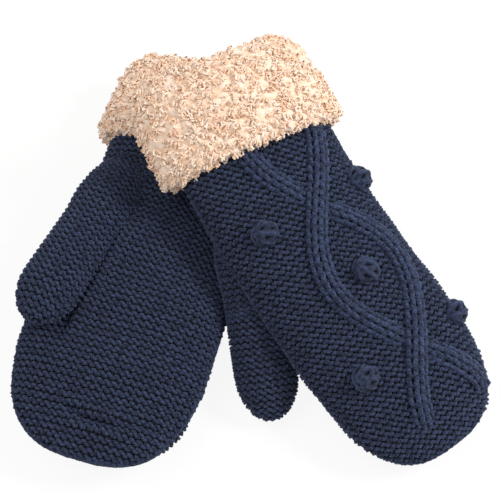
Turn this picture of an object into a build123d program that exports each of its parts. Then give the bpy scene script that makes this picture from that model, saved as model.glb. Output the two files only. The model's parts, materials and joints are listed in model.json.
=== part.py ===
from build123d import *

import math
import os
from dataclasses import dataclass

# A pair of cable-knit pull-on mittens with fleece linings and turned-back fleece cuffs.
#
# The right-hand mitten lies palm up. The left-hand one lies palm down with its cuff on top of the
# right cuff. Each mitten is modelled in its own frame and then laid in place:
#   x across, towards the thumb      y from the wrist opening to the fingertips
#   z towards the palm, so the cables and bobbles are on the -z side
# Lengths are millimetres and angles are degrees. In the finished frame +Z is up, the fingertips
# point towards -Y, and the origin is in the middle of the base of the whole pair.

# Knit shell
LENGTH = 242.0  # wrist opening to fingertips
WRIST_WIDTH = 87.0
WRIST_DEPTH = 33.0
WRIST_LENGTH = 60.0  # straight part, which the cuff slides on
HAND_START = 165.0  # where the hand reaches its full width
BEND_END = 132.0  # where the turn of the hand from the cuff's line is complete
TIP_LENGTH = 74.0  # part that rounds off at the fingertips
TIP_SQUARENESS = 2.8  # 2 is an ellipse, more is blunter
TIP_THINNING = 0.22  # share of its depth that the hand loses before the tip
THINNING_START = 140.0  # where that begins
KNIT = 4.2  # wall of the knit shell
LINING = 3.4  # wall of the fleece lining
GAP = 0.3  # between pieces that lie on each other
SLIDE_GAP = 0.5  # between the cuff and the wrist it slides on

# Turned-back cuff
CUFF_LENGTH = 50.0  # outer band, from the wrist opening to the hem
CUFF_FOLD = 6.0  # how far the folded edge stands past the knit
CUFF_SIDE_PILE = 8.5  # how far the band stands out at the sides
CUFF_FACE_PILE = 6.0  # and on the palm and the back
CUFF_FLARE = 2.0  # extra at the hem
CUFF_ROUNDING = 16.0  # length over which the folded edge rounds off
CUFF_STATIONS = 7
CUFF_FACING = 18.0  # part of the fleece inside the wrist
CUFF_TRAVEL = 46.0
HEM_WIDTH = 5.0

# Seams
SEAM_WIDTH = 3.2
SEAM_PROUD = 1.4
WRIST_SEAM_WIDTH = 2.0

# Cables: two strands that cross and part along the back
CABLE_WIDTH = 12.5
CABLE_HEIGHT = 4.5
CABLE_SPREAD = 20.5  # from the pattern's middle to a strand at its widest
FIRST_CROSSING = 91.0
CROSSING_PITCH = 94.0
CABLE_END = 228.0
PATTERN_OFFSET = -12.0  # pattern's middle line, away from the thumb
STRAND_GAP = 0.6

# Bobbles
BOBBLE_RADIUS = 8.0
BOBBLE_PROUD = 6.5
BOBBLE_SPREAD = 33.0  # from the pattern's middle line, beside each crossing
BOBBLE_EDGE = 0.93  # nearest that one comes to the edge, as a share of the half width

# Thumb
THUMB_ROOT_X = 31.5
THUMB_ROOT_Y = 96.0
THUMB_ROOT_Z = 11.0
THUMB_ROOT_RADIUS = 17.3
THUMB_ROOT_REACH = 16.0  # length of the thumb hole past the root's centre
ROOT_DOME_EXTRA = 0.6  # how much deeper the round root is than the thumb
ROOT_SLACK = 0.4  # how much narrower it is than the part that fills its hole
ROOT_CROWN = 14.0  # height of its rounded top
ROOT_FLAT = 3.0
ROOT_RIM_Z = 2.0  # where the root ends inside the hand
THUMB_LENGTH = 90.0  # root centre to thumb tip
THUMB_WIDTH = 33.0
THUMB_DEPTH = 27.5
THUMB_LINING = 2.4
THUMB_TIP_LENGTH = 26.0
SWING_STEPS = 4  # positions of the thumb that its passage is shaped round

# Cross-sections that the hand is built through
SMOOTH_STATIONS = 7
TIP_ANGLES = (24, 40, 54, 66, 76, 85)


@dataclass
class Mitten:
    """What differs between the two mittens: how each is filled and how it lies."""

    name: str
    mirrored: bool  # the left hand is the right hand's mirror image
    hand_width: float
    hand_depth: float
    wrist_bend: float  # turn of the hand from the cuff's line, away from the thumb
    thumb_splay: float  # thumb's angle from the hand's line at rest
    thumb_rise: float  # thumb's angle from the hand's plane, towards the palm
    thumb_swing: tuple  # joint range from rest, outwards is positive


RIGHT = Mitten("right", False, 105.0, 37.0, 0.0, 9.0, 12.0, (0.0, 30.0))
LEFT = Mitten("left", True, 89.0, 44.0, 7.0, 23.0, 7.5, (-15.0, 0.0))

# Where each mitten lies: the middle of its wrist opening, its heading from -Y, and for the upper
# one the slope down to the fingertips and the roll about its length
RIGHT_OPENING_X = -22.6
RIGHT_OPENING_Y = 112.0
RIGHT_HEADING = -16.4
LEFT_OPENING_X = -17.5
LEFT_OPENING_Y = 83.2
LEFT_HEADING = 29.7
LEFT_SLOPE = 15.5
LEFT_ROLL = 2.0
STACK_GAP = 0.6  # between the two cuffs where they lie on each other
STACK_CONTACT = 0.3  # where along the upper cuff that is, as a share of its length

CUFF_HALF_DEPTH = WRIST_DEPTH / 2 + SLIDE_GAP + CUFF_FACE_PILE + CUFF_FLARE


def ease(t):
    """0 to 1 with a level start and end."""
    t = min(1.0, max(0.0, t))
    return t * t * (3 - 2 * t)


def centre_line(mitten, along):
    """Middle of the hand at a distance from the opening: its x and y, and its heading."""
    bend_start, bend_end = WRIST_LENGTH, BEND_END
    turn = math.radians(mitten.wrist_bend)
    if along <= bend_start or turn == 0:
        return 0.0, along, 0.0
    radius = (bend_end - bend_start) / turn
    angle = (min(along, bend_end) - bend_start) / radius
    x = -radius * (1 - math.cos(angle))
    y = bend_start + radius * math.sin(angle)
    past = max(0.0, along - bend_end)
    return x - past * math.sin(angle), y + past * math.cos(angle), angle


def spot(mitten, across, along, height=0.0):
    """A point of the hand, given across and along its centre line."""
    x, y, angle = centre_line(mitten, along)
    return Vector(x + across * math.cos(angle), y + across * math.sin(angle), height)


def section_plane(mitten, along):
    x, y, angle = centre_line(mitten, along)
    return Plane(
        origin=(x, y, 0),
        x_dir=(math.cos(angle), math.sin(angle), 0),
        z_dir=(-math.sin(angle), math.cos(angle), 0),
    )


def half_sizes(mitten, along, inset=0.0):
    """Half width and half depth of the hand's section, taken in by an inset."""
    grown = ease((along - WRIST_LENGTH) / (HAND_START - WRIST_LENGTH))
    half_width = (WRIST_WIDTH + (mitten.hand_width - WRIST_WIDTH) * grown) / 2 - inset
    half_depth = (WRIST_DEPTH + (mitten.hand_depth - WRIST_DEPTH) * grown) / 2
    half_depth *= 1 - TIP_THINNING * ease((along - THINNING_START) / (LENGTH - THINNING_START))
    half_depth -= inset
    tip = (along - (LENGTH - TIP_LENGTH)) / (TIP_LENGTH - inset)
    if tip > 0:
        tip = min(tip, 0.999)
        half_width *= (1 - tip**TIP_SQUARENESS) ** (1 / TIP_SQUARENESS)
        half_depth *= (1 - tip**2) ** 0.5
    return half_width, min(half_depth, half_width * 0.98)


def hand_form(mitten, inset=0.0, start=0.0):
    """The hand's smooth outer form, taken in by an inset, from a distance along to its tip."""
    tip_start = LENGTH - TIP_LENGTH
    stations = [start]
    for i in range(SMOOTH_STATIONS + 1):
        along = WRIST_LENGTH + (tip_start - WRIST_LENGTH) * i / SMOOTH_STATIONS
        if along > start + 1:
            stations.append(along)
    for angle in TIP_ANGLES:
        reach = math.sin(math.radians(angle)) ** (2 / TIP_SQUARENESS)
        stations.append(tip_start + (TIP_LENGTH - inset) * reach)
    sections = []
    for along in stations:
        half_width, half_depth = half_sizes(mitten, along, inset)
        sections.append(section_plane(mitten, along) * Ellipse(half_width, half_depth))
    return loft(sections, ruled=True)


def slab(low_y, high_y, low_z, high_z):
    """A block across the whole mitten, between two distances along and two heights."""
    reach = LENGTH * 2
    block = Box(reach, high_y - low_y, high_z - low_z)
    return Pos(0, (low_y + high_y) / 2, (low_z + high_z) / 2) * block


def cross_section(half_width, half_depth, along):
    """An elliptical face square to the wrist."""
    plane = Plane(origin=(0, along, 0), x_dir=(1, 0, 0), z_dir=(0, 1, 0))
    return plane * Ellipse(half_width, half_depth)


def wrist_prism(inset, low_y, high_y):
    """A straight block with the wrist's section taken in by an inset."""
    face = cross_section(WRIST_WIDTH / 2 - inset, WRIST_DEPTH / 2 - inset, low_y)
    return extrude(face, high_y - low_y)


def thumb_root(mitten):
    """Point that the thumb turns about. Its axis is square to the palm, along z."""
    return spot(mitten, THUMB_ROOT_X, THUMB_ROOT_Y, THUMB_ROOT_Z)


def thumb_stem(mitten, inset):
    """The thumb from its root to its tip, at rest."""
    turn = thumb_heading(mitten)
    rise = math.radians(mitten.thumb_rise)
    axis = Vector(math.sin(turn) * math.cos(rise), math.cos(turn) * math.cos(rise), math.sin(rise))
    side = Vector(math.cos(turn), -math.sin(turn), 0)
    half_width, half_depth = THUMB_WIDTH / 2 - inset, THUMB_DEPTH / 2 - inset
    tip_start = THUMB_LENGTH - THUMB_TIP_LENGTH
    sections = []
    for angle in (None, 0) + TIP_ANGLES:
        share = math.radians(angle or 0)
        reach = 0.0 if angle is None else tip_start + (THUMB_TIP_LENGTH - inset) * math.sin(share)
        plane = Plane(origin=thumb_root(mitten) + axis * reach, x_dir=axis.cross(side), z_dir=axis)
        sections.append(plane * Ellipse(half_depth * math.cos(share), half_width * math.cos(share)))
    return loft(sections, ruled=True)


def root_dome(mitten, inset):
    """The round root. It is turned about the thumb's own axis, so swinging doesn't change it."""
    radius = THUMB_ROOT_RADIUS - ROOT_SLACK - inset
    height = THUMB_DEPTH / 2 + ROOT_DOME_EXTRA - inset
    low = ROOT_RIM_Z - THUMB_ROOT_Z - 4
    crown = height - ROOT_CROWN
    arc = EllipticalCenterArc((ROOT_FLAT, crown), radius - ROOT_FLAT, ROOT_CROWN, arc_size=90)
    outline = Polyline((ROOT_FLAT, height), (0, height), (0, low), (radius, low), (radius, crown))
    return Pos(thumb_root(mitten)) * revolve(Plane.XZ * make_face([arc, outline]), Axis.Z)


def thumb_heading(mitten, swing=0.0):
    """Direction of the thumb in the plane of the palm, from y towards x."""
    _, _, heading = centre_line(mitten, THUMB_ROOT_Y)
    return math.radians(mitten.thumb_splay + swing) - heading


def root_passage(mitten, radius, low_z, range_of_swing=(0.0, 0.0)):
    """Round-ended passage under the thumb's root, from a height up through the palm."""
    root = thumb_root(mitten)
    spots = [(root.X, root.Y)]
    low, high = range_of_swing
    for i in range(SWING_STEPS + 1):
        turn = thumb_heading(mitten, low + (high - low) * i / SWING_STEPS)
        spots.append((root.X + THUMB_ROOT_REACH * math.sin(turn), root.Y + THUMB_ROOT_REACH * math.cos(turn)))
    outline = make_hull([edge for x, y in spots for edge in (Pos(x, y) * Circle(radius)).edges()])
    return Pos(0, 0, low_z) * extrude(outline, 2 * mitten.hand_depth)


def thumb_form(mitten, inset=0.0, through=0.0):
    """The thumb's form. It lies on the palm, and reaches into it only through the round passage."""
    form = thumb_stem(mitten, inset) + root_dome(mitten, inset)
    passage = root_passage(mitten, THUMB_ROOT_RADIUS - inset, ROOT_RIM_Z - through)
    root = thumb_root(mitten)
    innermost = Pos(root) * Rot(0, 0, mitten.thumb_swing[0]) * Pos(-root)
    palm = innermost * hand_form(mitten, -GAP - inset, -5)
    under = slab(-5, LENGTH, -2 * mitten.hand_depth, ROOT_RIM_Z + inset)
    return form - (palm - passage) - (under - passage)


def strand_offset(along, side):
    """How far a strand's middle is from the pattern's middle line. The strands mirror each other."""
    phase = math.pi * (along - FIRST_CROSSING) / CROSSING_PITCH
    return side * CABLE_SPREAD * math.sin(phase)


def strand_footprint(mitten, side, width):
    """Plan outline of one strand, as a prism on the back of the hand."""
    start, steps = CUFF_LENGTH + HEM_WIDTH + GAP, 16
    edges = {}
    for edge in (-1, 1):
        points = []
        for i in range(steps + 1):
            along = start + (CABLE_END - start) * i / steps
            slope = math.atan(
                side * CABLE_SPREAD * math.pi / CROSSING_PITCH
                * math.cos(math.pi * (along - FIRST_CROSSING) / CROSSING_PITCH)
            )
            across = PATTERN_OFFSET + strand_offset(along, side) + edge * width / 2 / math.cos(slope)
            points.append(spot(mitten, across, along))
        edges[edge] = Spline(*points)
    ends = [Line(edges[-1] @ t, edges[1] @ t) for t in (0, 1)]
    face = make_face([edges[-1], ends[1], edges[1], ends[0]])
    return extrude(face, amount=-mitten.hand_depth, dir=(0, 0, 1))


def make_cables(mitten, relief):
    """Two strands. At each crossing the one that comes from the little finger's side lies on top:
    the over strand at the first and the under strand at the second. The other is cut there."""
    relief = relief & slab(0, LENGTH, -2 * mitten.hand_depth, -SEAM_WIDTH / 2 - GAP)
    between = FIRST_CROSSING + CROSSING_PITCH / 2
    depths = (-2 * mitten.hand_depth, 2 * mitten.hand_depth)
    over = relief & strand_footprint(mitten, 1, CABLE_WIDTH)
    under = relief & strand_footprint(mitten, -1, CABLE_WIDTH)
    wide_over = strand_footprint(mitten, 1, CABLE_WIDTH + 2 * STRAND_GAP)
    wide_under = strand_footprint(mitten, -1, CABLE_WIDTH + 2 * STRAND_GAP)
    under = under - (wide_over & slab(0, between, *depths))
    over = over - (wide_under & slab(between, LENGTH, *depths))
    return over, under


def bobble_places():
    """Across and along for each bobble: beside the crossings and in the middle of the diamond."""
    second = FIRST_CROSSING + CROSSING_PITCH
    places = [(PATTERN_OFFSET, FIRST_CROSSING + CROSSING_PITCH / 2)]
    for along in (FIRST_CROSSING, second):
        places += [(PATTERN_OFFSET + side * BOBBLE_SPREAD, along) for side in (-1, 1)]
    return places


def make_bobbles(mitten, hand_outside):
    bobbles = []
    for across, along in bobble_places():
        half_width, half_depth = half_sizes(mitten, along)
        share = max(-BOBBLE_EDGE, min(BOBBLE_EDGE, across / half_width))
        across = share * half_width
        depth = -half_depth * math.sqrt(1 - share**2)
        normal = Vector(share / half_width, depth / half_depth**2, 0).normalized()
        sunk = BOBBLE_PROUD - BOBBLE_RADIUS
        place = spot(mitten, across + normal.X * sunk, along, depth + normal.Y * sunk)
        above_seam = slab(0, LENGTH, -2 * mitten.hand_depth, -SEAM_WIDTH / 2 - GAP)
        bobbles.append((Pos(place) * Sphere(BOBBLE_RADIUS) - hand_outside) & above_seam)
    return Compound([bobble.solids().sort_by(SortBy.VOLUME)[-1] for bobble in bobbles])


def make_cuff():
    """One turned-back fleece: the outer band, the folded edge and the facing inside the wrist."""
    side, face = CUFF_SIDE_PILE + SLIDE_GAP, CUFF_FACE_PILE + SLIDE_GAP
    half_width, half_depth = WRIST_WIDTH / 2, WRIST_DEPTH / 2
    band_end = CUFF_LENGTH - HEM_WIDTH
    sections = []
    for i in range(CUFF_STATIONS + 1):
        y = -CUFF_FOLD + (band_end + CUFF_FOLD) * i / CUFF_STATIONS
        share = 0.3 + 0.7 * min(1.0, (y + CUFF_FOLD) / CUFF_ROUNDING) ** 0.6
        flare = CUFF_FLARE * ease(y / band_end)
        sections.append(cross_section(half_width + side * share + flare, half_depth + face * share + flare, y))
    band = loft(sections)
    mouth = KNIT + SLIDE_GAP + LINING
    band -= wrist_prism(-SLIDE_GAP, -SLIDE_GAP, band_end + 1)
    band += wrist_prism(KNIT + SLIDE_GAP, -SLIDE_GAP - 0.1, CUFF_FACING)
    band -= wrist_prism(mouth, -2 * CUFF_FOLD, CUFF_LENGTH)
    hem_a, hem_b = half_width + side + CUFF_FLARE, half_depth + face + CUFF_FLARE
    hem_start = band_end + GAP
    hem = loft([
        cross_section(hem_a - cut, hem_b - cut, y)
        for y, cut in ((hem_start, 0.0), (hem_start + HEM_WIDTH * 0.6, 0.8), (band_end + HEM_WIDTH, 3.2))
    ])
    hem -= wrist_prism(-SLIDE_GAP, 0, CUFF_LENGTH + 1)
    return band, hem


def make_mitten(mitten):
    """Every piece of one mitten in its own frame, by name."""
    hand_outside = hand_form(mitten, -GAP, -5)
    cavity = hand_form(mitten, KNIT + GAP + LINING, -10)
    knit = hand_form(mitten) - hand_form(mitten, KNIT, -5)
    thumb_hole = root_passage(mitten, THUMB_ROOT_RADIUS + GAP, ROOT_RIM_Z - GAP, mitten.thumb_swing)
    tall = mitten.hand_depth

    pieces = {}
    pieces["palm_panel"] = (knit & slab(-5, LENGTH + 5, GAP / 2, tall)) - thumb_hole
    pieces["back_panel"] = knit & slab(-5, LENGTH + 5, -tall, -GAP / 2)

    relief_start = CUFF_LENGTH + HEM_WIDTH
    ridge = hand_form(mitten, -SEAM_PROUD, relief_start) - hand_outside
    ridge = ridge & slab(0, 2 * LENGTH, -SEAM_WIDTH / 2, SEAM_WIDTH / 2)
    pieces["edge_seam"] = ridge.solids().sort_by(SortBy.VOLUME)[-1]

    relief = hand_form(mitten, -CABLE_HEIGHT, relief_start - 10) - hand_outside
    over, under = make_cables(mitten, relief)
    pieces["cable_strand_over"] = over
    pieces["cable_strand_under"] = under
    pieces["bobbles"] = make_bobbles(mitten, hand_outside)

    lining_start = CUFF_FACING + 2 * GAP + WRIST_SEAM_WIDTH
    pieces["hand_lining"] = hand_form(mitten, KNIT + GAP, lining_start) - cavity - thumb_hole
    seam_end = CUFF_FACING + GAP + WRIST_SEAM_WIDTH
    seam_inset = KNIT + GAP
    pieces["wrist_seam"] = wrist_prism(seam_inset, CUFF_FACING + GAP, seam_end) - wrist_prism(
        seam_inset + LINING, 0, LENGTH
    )

    knit_inside, lining_outside = KNIT, KNIT + GAP
    pieces["thumb_knit"] = thumb_form(mitten) - thumb_form(mitten, knit_inside, through=1.0)
    pieces["thumb_lining"] = thumb_form(mitten, lining_outside) - thumb_form(
        mitten, lining_outside + THUMB_LINING, through=1.0
    )

    pieces["turned_cuff"], pieces["cuff_hem"] = make_cuff()
    return pieces


def lay(mitten, pieces, place):
    """The pieces in the shared frame, named for their hand."""
    laid = {}
    for name, piece in pieces.items():
        if mitten.mirrored:
            piece = mirror(piece, about=Plane.YZ)
        laid[f"{mitten.name}_{name}"] = place * piece
    return laid


def right_place():
    """Palm up, level, resting on its cuff and bobbles."""
    heading = math.radians(RIGHT_HEADING)
    along = Vector(math.sin(heading), -math.cos(heading), 0)
    plane = Plane(
        origin=(RIGHT_OPENING_X, RIGHT_OPENING_Y, CUFF_HALF_DEPTH),
        x_dir=along.cross(Vector(0, 0, 1)),
        z_dir=(0, 0, 1),
    )
    return Location(plane)


def left_place():
    """Palm down, with its cuff on the right cuff and its fingertips on the ground."""
    heading, slope = math.radians(LEFT_HEADING), math.radians(LEFT_SLOPE)
    level = Vector(math.sin(heading), -math.cos(heading), 0)
    along = level * math.cos(slope) - Vector(0, 0, math.sin(slope))
    down = Vector(0, 0, -math.cos(slope)) - level * math.sin(slope)
    across = along.cross(down)
    roll = math.radians(LEFT_ROLL)
    palm = down * math.cos(roll) + across * math.sin(roll)
    height = 3 * CUFF_HALF_DEPTH + math.sin(slope) * CUFF_LENGTH * STACK_CONTACT + STACK_GAP
    plane = Plane(
        origin=(LEFT_OPENING_X, LEFT_OPENING_Y, height),
        x_dir=along.cross(palm),
        z_dir=palm,
    )
    return Location(plane)


def build_pair():
    """Every piece of both mittens, moved together so that the pair stands on the origin."""
    laid = lay(RIGHT, make_mitten(RIGHT), right_place())
    laid |= lay(LEFT, make_mitten(LEFT), left_place())
    boxes = [piece.bounding_box() for piece in laid.values()]
    low = [min(tuple(box.min)[i] for box in boxes) for i in range(3)]
    high = [max(tuple(box.max)[i] for box in boxes) for i in range(3)]
    base = Pos(-(low[0] + high[0]) / 2, -(low[1] + high[1]) / 2, -low[2])
    return {name: base * piece for name, piece in laid.items()}, base


def main():
    os.makedirs("parts", exist_ok=True)
    pieces, _ = build_pair()
    for name, piece in pieces.items():
        export_step(piece, os.path.join("parts", f"{name}.step"))


if __name__ == "__main__":
    main()
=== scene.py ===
import json
import math

import bmesh
import bpy
import numpy as np
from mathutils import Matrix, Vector

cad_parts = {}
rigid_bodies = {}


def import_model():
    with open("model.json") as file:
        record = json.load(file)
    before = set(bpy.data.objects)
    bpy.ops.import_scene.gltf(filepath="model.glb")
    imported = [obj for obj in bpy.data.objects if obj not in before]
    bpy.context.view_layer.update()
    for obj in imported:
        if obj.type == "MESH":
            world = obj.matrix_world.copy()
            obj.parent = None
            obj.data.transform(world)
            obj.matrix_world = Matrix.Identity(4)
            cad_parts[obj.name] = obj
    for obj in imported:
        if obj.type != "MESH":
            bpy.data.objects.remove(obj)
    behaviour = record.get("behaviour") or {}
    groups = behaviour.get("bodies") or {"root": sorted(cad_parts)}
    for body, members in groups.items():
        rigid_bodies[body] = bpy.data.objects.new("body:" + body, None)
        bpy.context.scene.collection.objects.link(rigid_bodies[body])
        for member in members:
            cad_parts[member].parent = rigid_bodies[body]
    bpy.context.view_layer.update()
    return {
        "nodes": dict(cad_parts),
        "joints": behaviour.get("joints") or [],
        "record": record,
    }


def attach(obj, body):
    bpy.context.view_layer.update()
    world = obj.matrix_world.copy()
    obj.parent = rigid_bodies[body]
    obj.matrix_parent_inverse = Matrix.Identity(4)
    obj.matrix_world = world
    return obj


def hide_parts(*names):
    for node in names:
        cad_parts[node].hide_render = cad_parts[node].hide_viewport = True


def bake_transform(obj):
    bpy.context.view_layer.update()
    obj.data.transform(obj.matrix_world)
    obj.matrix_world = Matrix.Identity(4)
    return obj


# A pair of thick cable-knit mittens with curly fleece cuffs, dressed on the CAD frame.
# The knit is real yarn: each panel is a field of interlocking loops laid over the hand's form.
# Each mitten is worked out in its own frame, in millimetres: across, towards the thumb; along,
# from the wrist opening to the fingertips; and up, towards the palm, so the cables are below.
# Mitten.place puts it in the shared frame, in metres.

for leftover in list(bpy.data.objects):
    bpy.data.objects.remove(leftover)

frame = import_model()
record = frame["record"]

MM = 0.001

# Knit
WALE = 4.3  # one stitch across
COURSE = 3.75  # one row along
YARN = 2.1  # thickness of the yarn
LOOP_OPENING = 0.75  # how far a loop's head and foot widen
LOOP_REACH = 2.75  # how far a loop's head and foot stand from its row's middle
LOOP_DEPTH = 1.05  # how far the heads stand in front of the legs
LOOP_SLANT = 0.45  # how far the twist of the yarn leans them
LOOP_POINTS = 10  # points along one stitch
YARN_SIDES = 5
UNDER_YARN = 0.9  # how far below the yarn's middle the ground lies
PLY_PITCH = 1.6 * MM  # one turn of the yarn's plies

# The hand's form
LENGTH = 242.0
WRIST_WIDTH, WRIST_DEPTH, WRIST_LENGTH = 87.0, 33.0, 60.0
HAND_START, BEND_END = 165.0, 132.0
TIP_LENGTH, TIP_SQUARENESS, TIP_THINNING, THINNING_START = 74.0, 2.8, 0.22, 140.0
FOLD, TIP_FOLD, TIP_FOLD_START = 0.75, 1.1, 190.0
# On the right palm: a crease near the fingertips between two ridges, and a groove and a
# swelling beside the thumb
CREASE_ACROSS, CREASE_ALONG, CREASE_BEND, CREASE_HALF_WIDTH = -6.0, 224.0, 0.011, 16
CREASE_DEPTH, CREASE_REACH, CREASE_RIDGE, RIDGE_AT, RIDGE_REACH = 1.9, 2.2, 2.8, 4.8, 2.6
GROOVE_DEPTH, GROOVE_REACH, SWELLING, SWELLING_AT, SWELLING_REACH = 3.0, 2.6, 4.4, 5.6, 3.9
GROOVE_START, GROOVE_PAST_TIP, GROOVE_FADE = 8, 4, 22
CUFF_LENGTH, CUFF_FOLD, HEM_WIDTH = 50.0, 6.0, 5.0
CUFF_LEAN = 6.5  # how far the upper mitten's cuff has slipped towards the arm at the thumb's side
SEAM_PROUD, SEAM_EDGE, SEAM_HALF_HEIGHT = 0.7, 0.1, 1.9

# Cables and bobbles
ROPE_WIDTH, ROPE_HEIGHT, ROPE_SPREAD = 9.8, 4.4, 20.5
FIRST_CROSSING, CROSSING_PITCH, ROPE_END, PATTERN_OFFSET = 91.0, 94.0, 228.0, -12.0
ROPE_STITCH, ROPE_ROW = 6.2, 5.2
ROPE_RISE, ROPE_DIP = 0.6, -4.2  # of the strand on top and the one below, where they cross
ROPE_SUNK, ROPE_RUN_OUT = 0.4, 14  # how deep its edges lie, and the length in which its ends thin
CROSSING_SHARE = 0.62  # how far apart the strands are where they start to rise and dip
BOBBLE_RADIUS, BOBBLE_PROUD, BOBBLE_SPREAD, BOBBLE_EDGE = 8.0, 6.5, 33.0, 0.93
BOBBLE_YARN, BOBBLE_WINDS, WIND_POINTS = 3.5, 6, 15
WIND_AXIS = (0.95, 0.0, 0.31)  # about which the winds turn over
FIRST_WIND, LAST_WIND, BOBBLE_CORE = 0.9, 1.06, 0.84  # as shares of the winds' radius
PRESSED_IN = 3.6  # how far the upper mitten's bobbles stand out less

# Thumb
ROOT_X, ROOT_Y, ROOT_Z, ROOT_RADIUS, ROOT_EXTRA = 31.5, 96.0, 11.0, 18.2, 1.0
ROOT_RUN = 34.0  # how far back the thumb runs out into the palm
ROOT_FADE = 22.0  # the length in which its root takes the thumb's own section
THUMB_GAP, THUMB_LIFT = 1.0, 2.4  # its height over the palm at its root, and what its tip has more
THUMB_LENGTH, THUMB_WIDTH, THUMB_DEPTH, THUMB_TIP = 90.0, 33.0, 27.5, 26.0

# Fleece: the tufts, how the hem is tucked under the band, the curls, and where the pile shows,
# as distances out from the wrist's section
PUFF_MIDDLE, PUFF_HEIGHT, TUCK, TUCK_RUN = 0.55, 1.1, 1.2, 1.5
CURLS_PER_MM2, CURL_RADIUS, CURL_THICKNESS, CURL_RISE = 0.137, 1.65, 1.15, 0.42
PILE_OUTSIDE, PILE_INSIDE = 2.2, -6.6


def ease(t):
    """0 to 1 with a level start and end."""
    t = min(1.0, max(0.0, t))
    return t * t * (3 - 2 * t)


class Mitten:
    """One mitten's form in its own frame, and its place in the shared frame."""

    def __init__(self, side, width, depth, bend, splay, rise):
        self.side, self.width, self.depth = side, width, depth
        self.bend = math.radians(bend)
        self.splay, self.rise = math.radians(splay), math.radians(rise)
        mount = next(m for m in record["mounts"] if m["name"] == f"{side}_wrist_opening")
        hinge = next(j for j in frame["joints"] if j["name"] == f"{side}_thumb_swing")
        turn = -1 if side == "right" else 1
        self.along = -np.array(mount["axis"], float)
        self.up = turn * np.array(hinge["axis"], float)
        self.across = -turn * np.cross(self.along, self.up)
        self.origin = np.array(mount["pos_m"], float) + self.along * CUFF_FOLD * MM

    def place(self, points):
        """Points of the mitten's own frame, in the shared frame."""
        points = np.asarray(points, float) * MM
        return self.origin + points @ np.array([self.across, self.along, self.up])

    def local(self, places):
        """Points of the shared frame, in the mitten's own."""
        return (places - self.origin) @ np.array([self.across, self.along, self.up]).T / MM

    def middle(self, along):
        """Middle of the hand at a distance along, and its heading."""
        if along <= WRIST_LENGTH or self.bend == 0:
            return 0.0, along, 0.0
        radius = (BEND_END - WRIST_LENGTH) / self.bend
        angle = (min(along, BEND_END) - WRIST_LENGTH) / radius
        past = max(0.0, along - BEND_END)
        return (
            -radius * (1 - math.cos(angle)) - past * math.sin(angle),
            WRIST_LENGTH + radius * math.sin(angle) + past * math.cos(angle),
            angle,
        )

    def half_sizes(self, along):
        """Half width and half depth of the hand at a distance along."""
        grown = ease((along - WRIST_LENGTH) / (HAND_START - WRIST_LENGTH))
        half_width = (WRIST_WIDTH + (self.width - WRIST_WIDTH) * grown) / 2
        half_depth = (WRIST_DEPTH + (self.depth - WRIST_DEPTH) * grown) / 2
        half_depth *= 1 - TIP_THINNING * ease((along - THINNING_START) / (LENGTH - THINNING_START))
        tip = min(0.9995, (along - (LENGTH - TIP_LENGTH)) / TIP_LENGTH)
        if tip > 0:
            half_width *= (1 - tip**TIP_SQUARENESS) ** (1 / TIP_SQUARENESS)
            half_depth *= (1 - tip**2) ** 0.5
        return half_width, min(half_depth, half_width * 0.98)

    def on_hand(self, across, along, up=0.0):
        x, y, heading = self.middle(along)
        return [x + across * math.cos(heading), y + across * math.sin(heading), up]

    def surface(self, angle, along, out=0.0):
        """A point of the hand's outside, by its angle round the section, 0 at the thumb's side."""
        half_width, half_depth = self.half_sizes(along)
        across, up = (half_width + out) * math.cos(angle), (half_depth + out) * math.sin(angle)
        return self.on_hand(across, along, up)

    def slack(self, angle, along, palm):
        """How far the soft knit stands off its form, in folds and, on the right palm, a
        crease near the fingertips."""
        folds = math.sin(along / 8.0 + 2.4 * math.sin(angle))
        folds *= math.sin(1.7 * angle + along / 27.0 + self.width)
        out = FOLD + (FOLD + TIP_FOLD * ease((along - TIP_FOLD_START) / 35)) * folds
        if palm and self.side == "right":
            across = self.half_sizes(along)[0] * math.cos(angle)
            beside = (along - ROOT_Y) * math.sin(self.splay) - (across - ROOT_X) * math.cos(self.splay)
            beside -= THUMB_WIDTH / 2
            ahead, left = along - ROOT_Y - GROOVE_START, ROOT_Y + THUMB_LENGTH + GROOVE_PAST_TIP - along
            reach = min(ease(ahead / GROOVE_FADE), ease(left / GROOVE_FADE))
            swelling = SWELLING * math.exp(-(((beside - SWELLING_AT) / SWELLING_REACH) ** 2))
            out += reach * (swelling - GROOVE_DEPTH * math.exp(-((beside / GROOVE_REACH) ** 2)))
            ahead = along - (CREASE_ALONG - (across - CREASE_ACROSS) ** 2 * CREASE_BEND)
            near = ease(1.6 - abs(across - CREASE_ACROSS) / CREASE_HALF_WIDTH)
            ridges = CREASE_RIDGE * math.exp(-(((abs(ahead) - RIDGE_AT) / RIDGE_REACH) ** 2))
            out += near * (ridges - CREASE_DEPTH * math.exp(-((ahead / CREASE_REACH) ** 2)))
        return out

    def back_height(self, across, along):
        """How far below the middle plane the back of the hand is."""
        half_width, half_depth = self.half_sizes(along)
        share = max(-0.97, min(0.97, across / half_width))
        return -half_depth * math.sqrt(1 - share**2)

    def palm_height(self, x, y):
        """Height of the palm over a point, or a long way down beside the hand."""
        along = y
        for _ in range(5):
            mx, my, heading = self.middle(along)
            along += -(x - mx) * math.sin(heading) + (y - my) * math.cos(heading)
        mx, my, heading = self.middle(along)
        across = (x - mx) * math.cos(heading) + (y - my) * math.sin(heading)
        half_width, half_depth = self.half_sizes(min(along, LENGTH - 1))
        share = across / half_width
        return half_depth * math.sqrt(1 - share**2) if abs(share) < 1 else -999.0


RIGHT = Mitten("right", 105.0, 37.0, 0.0, 9.0, 12.0)
LEFT = Mitten("left", 89.0, 44.0, 7.0, 23.0, 7.5)


# Node trees and materials: the kinds of node and the settings that repeat


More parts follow.
